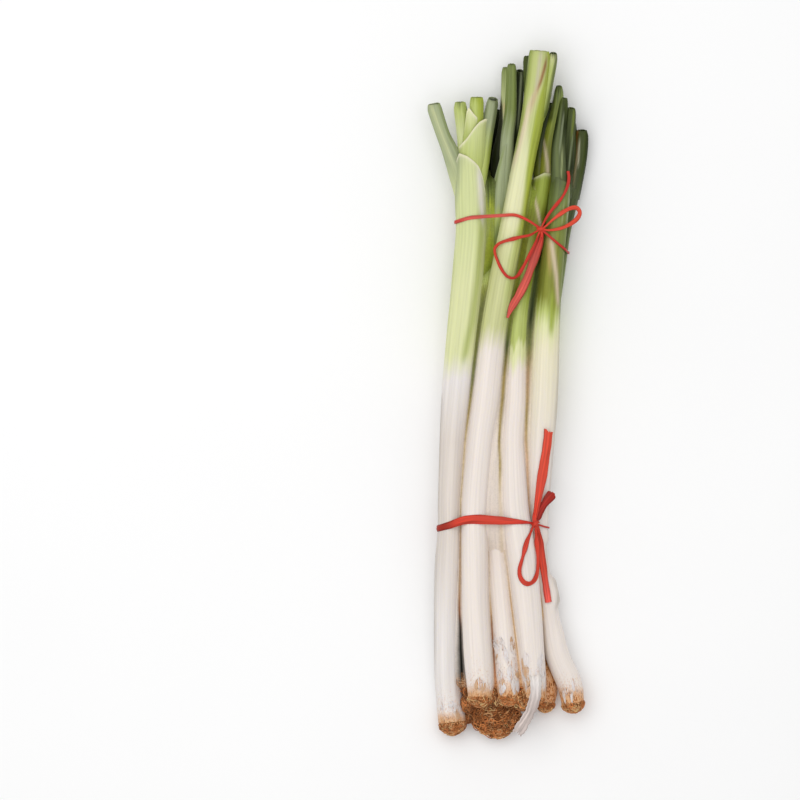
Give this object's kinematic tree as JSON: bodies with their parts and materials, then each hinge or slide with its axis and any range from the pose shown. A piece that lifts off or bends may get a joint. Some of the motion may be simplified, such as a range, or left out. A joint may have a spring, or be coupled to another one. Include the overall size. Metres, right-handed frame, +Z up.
{
  "type": "welsh onion bunch",
  "caption": "Bunch of long trimmed welsh onions with white shanks, green hollow leaves and brown root ends, tied with two ribbon bows and lying on its side.",
  "frame": {"origin": "on the surface that the bunch lies on, under the middle of the bunch without its loose ribbon ends", "axes": "+Z up from the surface, +Y along the stalks from the root ends to the cut leaf tips, +X across the bunch"},
  "size_m": [0.1404, 0.6005, 0.0501],
  "materials": {
    "onion": "smooth moist plant skin, white at the shank and green at the leaves",
    "roots": "dry matted rootlets",
    "skin": "dry translucent outer skin",
    "ribbon": "flat folded red tying ribbon"
  },
  "bodies": {
    "root": {"onion_left": "onion", "roots_left": "roots", "onion_tall": "onion", "roots_tall": "roots", "onion_middle": "onion", "roots_middle": "roots", "onion_front": "onion", "roots_front": "roots", "onion_right": "onion", "roots_right": "roots", "onion_under_left": "onion", "roots_under_left": "roots", "onion_under_right": "onion", "roots_under_right": "roots", "upper_tie": "ribbon", "lower_tie": "ribbon", "upper_tie_left_loop": "ribbon", "upper_tie_right_loop": "ribbon", "upper_tie_thin_tail": "ribbon", "upper_tie_wide_tail": "ribbon", "lower_tie_loop": "ribbon", "lower_tie_up_tail": "ribbon", "lower_tie_down_tail": "ribbon", "loose_skin": "skin"}
  },
  "joints": []
}
